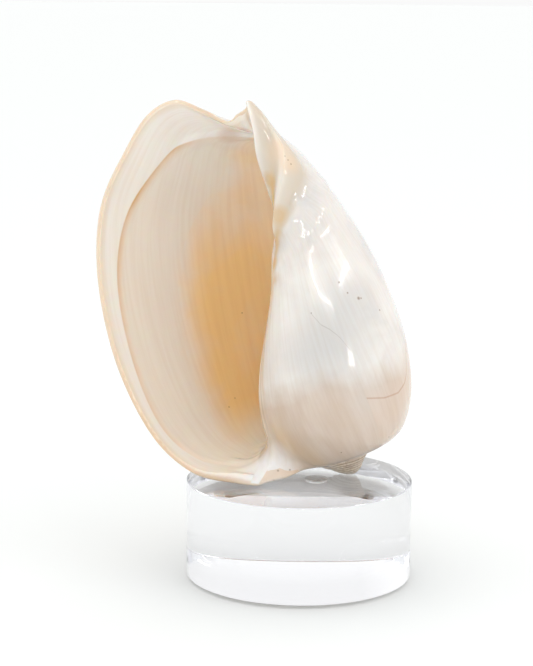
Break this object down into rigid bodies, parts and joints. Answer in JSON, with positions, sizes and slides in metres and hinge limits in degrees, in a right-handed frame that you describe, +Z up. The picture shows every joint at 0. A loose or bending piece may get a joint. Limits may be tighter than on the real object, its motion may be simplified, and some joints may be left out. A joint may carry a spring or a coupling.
{
  "type": "mounted sea shell",
  "caption": "Polished volute sea shell with a wide open mouth, standing apex down on a clear round disc with small clear bumper feet.",
  "frame": {"origin": "on the floor, below the middle of the whole object's box", "axes": "+Z up from the floor to the shell's open canal end, -Y towards the viewer who looks into the mouth, +X towards the closed body whorl"},
  "size_m": [0.1416, 0.1142, 0.2163],
  "materials": {
    "shell": "polished natural shell, glossy, cream white and grey-white outside, peach and orange-tan inside, rough grey-brown spire",
    "clear_acrylic": "clear polished acrylic",
    "clear_rubber": "clear soft bumper pads, slightly hazy"
  },
  "bodies": {
    "root": {"shell": "shell", "disc": "clear_acrylic", "foot_1": "clear_rubber", "foot_2": "clear_rubber", "foot_3": "clear_rubber", "foot_4": "clear_rubber"}
  },
  "joints": []
}
